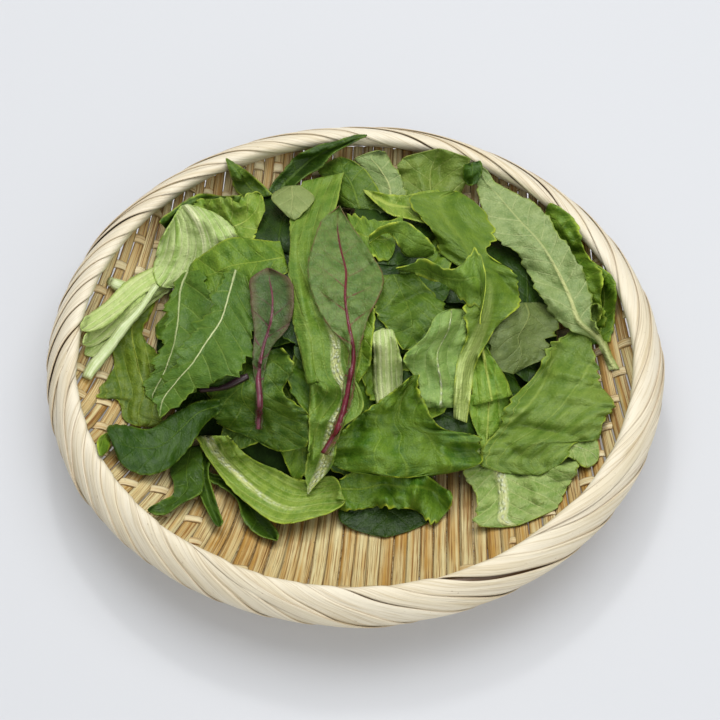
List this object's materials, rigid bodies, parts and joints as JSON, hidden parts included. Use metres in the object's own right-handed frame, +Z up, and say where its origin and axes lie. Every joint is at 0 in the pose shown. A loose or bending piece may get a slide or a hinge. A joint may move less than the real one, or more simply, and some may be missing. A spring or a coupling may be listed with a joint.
{
  "type": "salad leaf heap on woven tray",
  "caption": "Loose heap of mixed baby salad leaves with stems and ribs, on a round shallow woven bamboo tray with a wound rim.",
  "frame": {"origin": "on the table, under the middle of the tray", "axes": "+Z up, square to the tray; +X along the tray's cross strips; +Y along its long splints, away from the empty front"},
  "size_m": [0.2396, 0.2396, 0.0524],
  "materials": {
    "leaf_green": "fresh leaf, satin",
    "bamboo": "split bamboo, satin",
    "peeled_bamboo": "pale peeled bamboo, satin"
  },
  "bodies": {
    "root": {"salad_heap": "leaf_green", "woven_mat": "bamboo", "wound_rim": "peeled_bamboo"}
  },
  "joints": []
}
